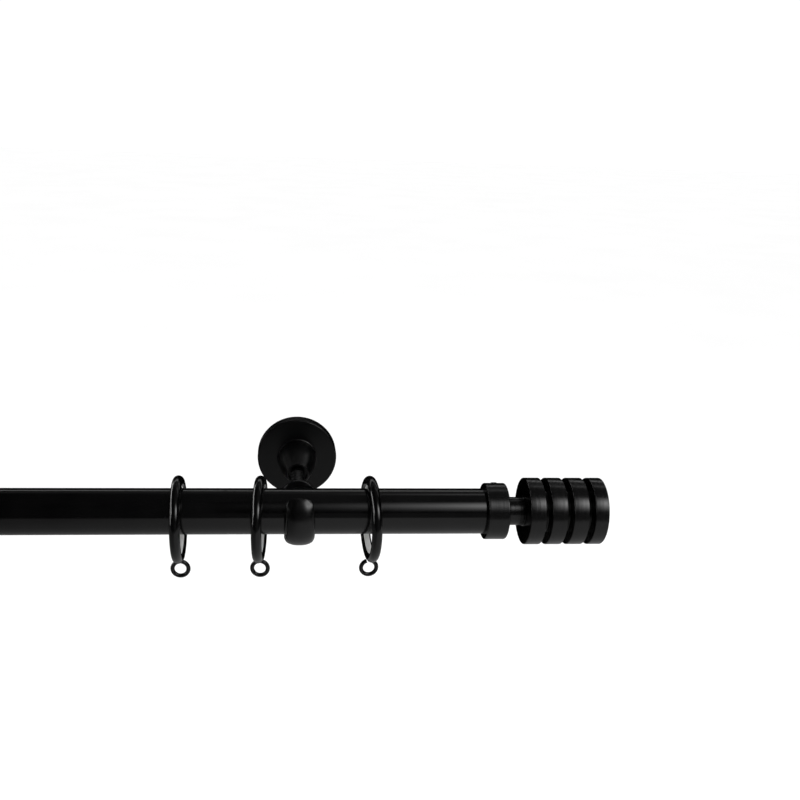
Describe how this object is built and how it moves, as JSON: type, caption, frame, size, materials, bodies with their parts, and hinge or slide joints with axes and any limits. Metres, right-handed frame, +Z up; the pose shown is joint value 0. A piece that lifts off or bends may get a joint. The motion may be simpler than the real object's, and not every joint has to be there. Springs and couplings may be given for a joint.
{
  "type": "curtain rod with brackets",
  "caption": "Round metal curtain rod held off a wall by two cradle brackets, with grooved barrel finials and sliding lined rings.",
  "frame": {"origin": "on the wall plane, midway between the two brackets, at the height of the rod's axis", "axes": "+X along the rod to the right as seen from the room, +Y into the wall, +Z up"},
  "size_m": [1.1258, 0.1567, 0.0722],
  "materials": {
    "black_tube": "satin black coat",
    "black_casting": "satin black coat",
    "black_turned": "satin black over fine turning marks",
    "black_ring": "glossy black coat",
    "black_screw": "blackened steel",
    "zinc_steel": "bright zinc plate",
    "nylon_liner": "translucent pale nylon"
  },
  "bodies": {
    "wall_brackets": {"mount_disc_left": "zinc_steel", "wall_screws_left": "zinc_steel", "rose_left": "black_casting", "rose_grub_screw_left": "black_screw", "arm_lock_screw_left": "black_screw", "mount_disc_right": "zinc_steel", "wall_screws_right": "zinc_steel", "rose_right": "black_casting", "rose_grub_screw_right": "black_screw", "arm_lock_screw_right": "black_screw"},
    "arm_left": {"arm_stem_left": "black_casting", "cradle_left": "black_casting", "cradle_screw_left": "black_screw", "rod_lock_screw_left": "black_screw"},
    "arm_right": {"arm_stem_right": "black_casting", "cradle_right": "black_casting", "cradle_screw_right": "black_screw", "rod_lock_screw_right": "black_screw"},
    "pole": {"pole_tube": "black_tube"},
    "finial_left": {"finial_collar_left": "black_turned", "finial_lip_left": "black_turned", "finial_barrel_left": "black_turned", "finial_stud_left": "zinc_steel", "finial_grub_screw_left": "black_screw"},
    "finial_right": {"finial_collar_right": "black_turned", "finial_lip_right": "black_turned", "finial_barrel_right": "black_turned", "finial_stud_right": "zinc_steel", "finial_grub_screw_right": "black_screw"},
    "ring_1": {"curtain_ring_1": "black_ring", "ring_liner_1": "nylon_liner", "ring_eyelet_1": "black_ring"},
    "ring_2": {"curtain_ring_2": "black_ring", "ring_liner_2": "nylon_liner", "ring_eyelet_2": "black_ring"},
    "ring_3": {"curtain_ring_3": "black_ring", "ring_liner_3": "nylon_liner", "ring_eyelet_3": "black_ring"},
    "ring_4": {"curtain_ring_4": "black_ring", "ring_liner_4": "nylon_liner", "ring_eyelet_4": "black_ring"},
    "ring_5": {"curtain_ring_5": "black_ring", "ring_liner_5": "nylon_liner", "ring_eyelet_5": "black_ring"},
    "ring_6": {"curtain_ring_6": "black_ring", "ring_liner_6": "nylon_liner", "ring_eyelet_6": "black_ring"},
    "ring_7": {"curtain_ring_7": "black_ring", "ring_liner_7": "nylon_liner", "ring_eyelet_7": "black_ring"},
    "ring_8": {"curtain_ring_8": "black_ring", "ring_liner_8": "nylon_liner", "ring_eyelet_8": "black_ring"}
  },
  "joints": [
    {"name": "arm_right_projection", "type": "slide", "parent": "wall_brackets", "child": "arm_right", "axis": [0, -1, 0], "range_m": [-0.012, 0.008]},
    {"name": "arm_left_projection", "type": "slide", "parent": "wall_brackets", "child": "arm_left", "axis": [0, -1, 0], "range_m": [-0.012, 0.008]},
    {"name": "pole_lift", "type": "slide", "parent": "arm_right", "child": "pole", "axis": [0, 0, 1], "range_m": [0, 0.04]},
    {"name": "finial_left_pull", "type": "slide", "parent": "pole", "child": "finial_left", "axis": [-1, 0, 0], "range_m": [0, 0.03]},
    {"name": "finial_right_pull", "type": "slide", "parent": "pole", "child": "finial_right", "axis": [1, 0, 0], "range_m": [0, 0.03]},
    {"name": "ring_1_slide", "type": "slide", "parent": "pole", "child": "ring_1", "axis": [1, 0, 0], "range_m": [-0.062, 0.026]},
    {"name": "ring_2_slide", "type": "slide", "parent": "pole", "child": "ring_2", "axis": [1, 0, 0], "range_m": [-0.008, 0.017]},
    {"name": "ring_3_slide", "type": "slide", "parent": "pole", "child": "ring_3", "axis": [1, 0, 0], "range_m": [-0.017, 0.094]},
    {"name": "ring_4_slide", "type": "slide", "parent": "pole", "child": "ring_4", "axis": [1, 0, 0], "range_m": [-0.094, 0.093]},
    {"name": "ring_5_slide", "type": "slide", "parent": "pole", "child": "ring_5", "axis": [1, 0, 0], "range_m": [-0.093, 0.094]},
    {"name": "ring_6_slide", "type": "slide", "parent": "pole", "child": "ring_6", "axis": [1, 0, 0], "range_m": [-0.094, 0.017]},
    {"name": "ring_7_slide", "type": "slide", "parent": "pole", "child": "ring_7", "axis": [1, 0, 0], "range_m": [-0.017, 0.008]},
    {"name": "ring_8_slide", "type": "slide", "parent": "pole", "child": "ring_8", "axis": [1, 0, 0], "range_m": [-0.026, 0.062]}
  ],
  "couplings": [
    {"joint": "arm_left_projection", "follows": "arm_right_projection", "ratio": 1}
  ]
}
